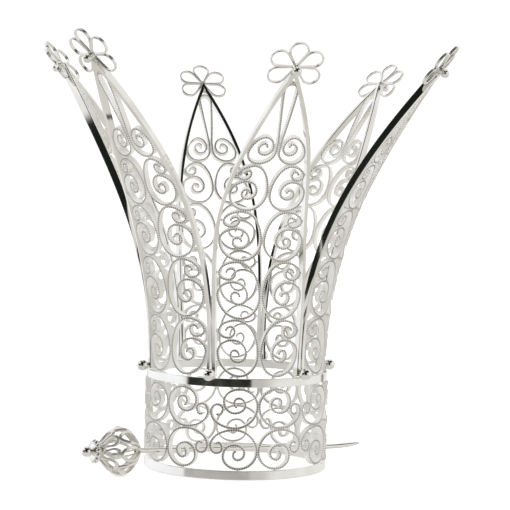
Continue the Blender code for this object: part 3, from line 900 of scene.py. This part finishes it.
def build_petals():
    """Frame, filigree, lyre, flower and bead of each petal."""
    rim, right, lyre, flower = frame_panel(), scroll_column(), lyre_panel(), flower_panel()
    left = right.mirrored()
    for i in range(PETALS):
        n = i + 1
        place = on_petal(i)
        for name, shape, node, slot in (
            ("frame_strip", rim.placed(place), "petal_frame", "frame_silver"),
            ("filigree_left", left.placed(place), "petal_scrolls_left", "filigree_silver"),
            ("filigree_right", right.placed(place), "petal_scrolls_right", "filigree_silver"),
            ("lyre_wire", lyre.placed(place), "petal_lyre", "filigree_silver"),
            ("wire_flower", flower.placed(place), "flower", "flower_silver"),
            ("flower_bead_polished", flower_bead(i), "flower_bead", "bead_silver"),
        ):
            add_piece(f"{name}_{n}", shape, f"{node}_{n}", "crown", slot)


def build_pin():
    """The hairpin's pieces in its own frame."""
    place = in_frame(pin_frame())
    for name, shape, node in (
        ("hairpin_shaft", pin_shaft(), "pin_shaft"),
        ("bud_leaf_wires", bud_leaves(), "pin_bud_leaves"),
        ("bud_oval_wires", bud_ovals(), "pin_bud_ovals"),
        ("granulated_collar", pin_collar(), "pin_collar"),
        ("hairpin_end_ball", pin_end_ball(), "pin_end_ball"),
    ):
        add_piece(name, shape.placed(place), node, "hairpin", "pin_silver")


build_ring()
build_petals()
build_pin()


# ---------------------------------------------------------------- stage, light and camera

def smooth(low, high, value):
    """0 below low, 1 above high, with a smooth rise between."""
    share = np.clip((value - low) / (high - low), 0.0, 1.0)
    return share * share * (3.0 - 2.0 * share)


def within(low, high, soft, value):
    """1 between low and high, falling to 0 over soft degrees inside each end."""
    return smooth(low, low + soft, value) * (1.0 - smooth(high - soft, high, value))


def studio_tone(side, height):
    """Colour of the studio in a direction: degrees to the camera's right of the crown, and up.

    Pale walls, a light window to the left, and black in front and overhead: polished silver
    shows these as its light and dark strips.
    """
    tone = np.zeros((len(side), 3)) + DIM_WALL

    def paint(patch, share):
        nonlocal tone
        tone = tone + (np.array(patch) - tone) * share[:, None]

    from_edge = side - np.interp(height, DARK_EDGE_HEIGHTS, DARK_EDGE_SIDES)
    above_table = smooth(-16.0, -12.0, height)
    right = above_table * smooth(16.0, 20.0, side)
    paint(RIGHT_NEAR, right)
    paint(RIGHT_FAR, right * smooth(30.0, 60.0, side))
    paint(BEHIND_CAMERA, smooth(150.0, 175.0, np.abs(side)))
    left = (1.0 - smooth(-68.0, -64.0, side)) * smooth(-165.0, -150.0, side)
    paint(LEFT_WINDOW, left * smooth(-30.0, -8.0, height) * (1.0 - smooth(50.0, 60.0, height)))
    paint(LEFT_HIGH, smooth(4.0, 10.0, height) * (1.0 - smooth(-5.0, 0.0, from_edge)))

    front = smooth(-2.0, 2.0, from_edge) * (1.0 - smooth(17.5, 20.5, side))
    paint(TABLE_FRONT, front * above_table)
    low_front = front * smooth(-9.2, -8.2, height)
    overhead = smooth(50.0, 56.0, height) * (1.0 - smooth(100.0, 115.0, np.abs(side)))
    high_right = smooth(36.0, 39.0, height) * smooth(16.0, 20.0, side)
    high_right = high_right * (1.0 - smooth(90.0, 100.0, side))
    below_zenith = 1.0 - smooth(76.0, 79.0, height)
    paint(DARK_FRONT, np.maximum(low_front, np.maximum(overhead, high_right)) * below_zenith)
    panel = smooth(-4.0, -3.0, height) * (1.0 - smooth(11.0, 15.0, height))
    paint(PALE_PANEL, panel * within(-44.0, -18.0, 4.0, side))
    rear = smooth(-6.6, -5.8, height) * (1.0 - smooth(6.0, 10.0, height))
    paint(DARK_REAR, rear * within(135.0, 147.0, 4.0, side))
    return tone


def add_studio_dome():
    """Big sphere whose tones are seen only in reflections."""
    side = np.linspace(-180.0, 180.0, DOME_COLUMNS + 1)
    height = np.linspace(-90.0, 90.0, DOME_ROWS + 1)
    side, height = (grid.ravel() for grid in np.meshgrid(side, height))
    turn = np.radians(FRONT_AZIMUTH - CAMERA_AZIMUTH + side)
    level = np.cos(np.radians(height)) * DOME_RADIUS
    points = np.column_stack([level * np.cos(turn), level * np.sin(turn),
                              np.sin(np.radians(height)) * DOME_RADIUS])
    index = np.arange(len(points)).reshape(DOME_ROWS + 1, DOME_COLUMNS + 1)
    corners = [index[:-1, :-1], index[:-1, 1:], index[1:, 1:], index[1:, :-1]]
    faces = np.stack(corners, axis=-1).reshape(-1, 4)
    mesh = bpy.data.meshes.new("studio_dome")
    mesh.from_pydata(points.tolist(), [], faces.tolist())
    colour = mesh.attributes.new("tone", "FLOAT_COLOR", "POINT")
    tone = np.column_stack([studio_tone(side, height), np.ones(len(points))])
    colour.data.foreach_set("color", tone.astype(np.float32).ravel())
    material = bpy.data.materials.new("studio_tones")
    material.use_nodes = True
    nodes, links = material.node_tree.nodes, material.node_tree.links
    nodes.clear()
    output = nodes.new("ShaderNodeOutputMaterial")
    light = nodes.new("ShaderNodeEmission")
    source = nodes.new("ShaderNodeAttribute")
    source.attribute_name = "tone"
    links.new(source.outputs["Color"], light.inputs["Color"])
    links.new(light.outputs["Emission"], output.inputs["Surface"])
    mesh.materials.append(material)
    dome = bpy.data.objects.new("studio_dome", mesh)
    bpy.context.scene.collection.objects.link(dome)
    dome.visible_camera = False
    dome.visible_diffuse = False
    dome.visible_shadow = False


def add_floor():
    """Pale floor that the crown stands on."""
    bpy.ops.mesh.primitive_plane_add(size=FLOOR_SIZE, location=(0.0, 0.0, -FLOOR_DROP))
    floor = bpy.context.object
    floor.name = "floor"
    material = bpy.data.materials.new("pale_floor")
    material.use_nodes = True
    shader = material.node_tree.nodes["Principled BSDF"]
    shader.inputs["Base Color"].default_value = FLOOR_TONE
    shader.inputs["Roughness"].default_value = 0.6
    shader.inputs["Emission Color"].default_value = FLOOR_TONE
    shader.inputs["Emission Strength"].default_value = FLOOR_GLOW
    floor.data.materials.append(material)
    floor.visible_glossy = False


def add_world():
    """Even white surroundings."""
    world = bpy.data.worlds.new("white_studio")
    world.use_nodes = True
    background = world.node_tree.nodes["Background"]
    background.inputs["Color"].default_value = (1.0, 1.0, 1.0, 1.0)
    background.inputs["Strength"].default_value = WORLD_STRENGTH
    bpy.context.scene.world = world


def add_camera():
    """Camera in front of the crown, a little to its left."""
    data = bpy.data.cameras.new("camera")
    data.sensor_width = SENSOR_WIDTH
    data.lens = CAMERA_LENS
    data.clip_start = 0.01
    data.clip_end = 20.0
    camera = bpy.data.objects.new("camera", data)
    turn, pitch, roll = (math.radians(a) for a in (CAMERA_AZIMUTH, CAMERA_PITCH, CAMERA_ROLL))
    level = Vector((math.sin(turn), math.cos(turn), 0.0))
    forward = level * math.cos(pitch) - Vector((0.0, 0.0, math.sin(pitch)))
    right = Vector((level.y, -level.x, 0.0))
    up = right.cross(forward)
    tilted_right = right * math.cos(roll) + up * math.sin(roll)
    tilted_up = up * math.cos(roll) - right * math.sin(roll)
    axes = Matrix((tilted_right, tilted_up, -forward)).transposed()
    camera.matrix_world = Matrix.Translation(Vector(CAMERA_PLACE) * MM) @ axes.to_4x4()
    bpy.context.scene.collection.objects.link(camera)
    bpy.context.scene.camera = camera


add_floor()
add_studio_dome()
add_world()
add_camera()
bpy.context.scene.view_settings.view_transform = "Standard"
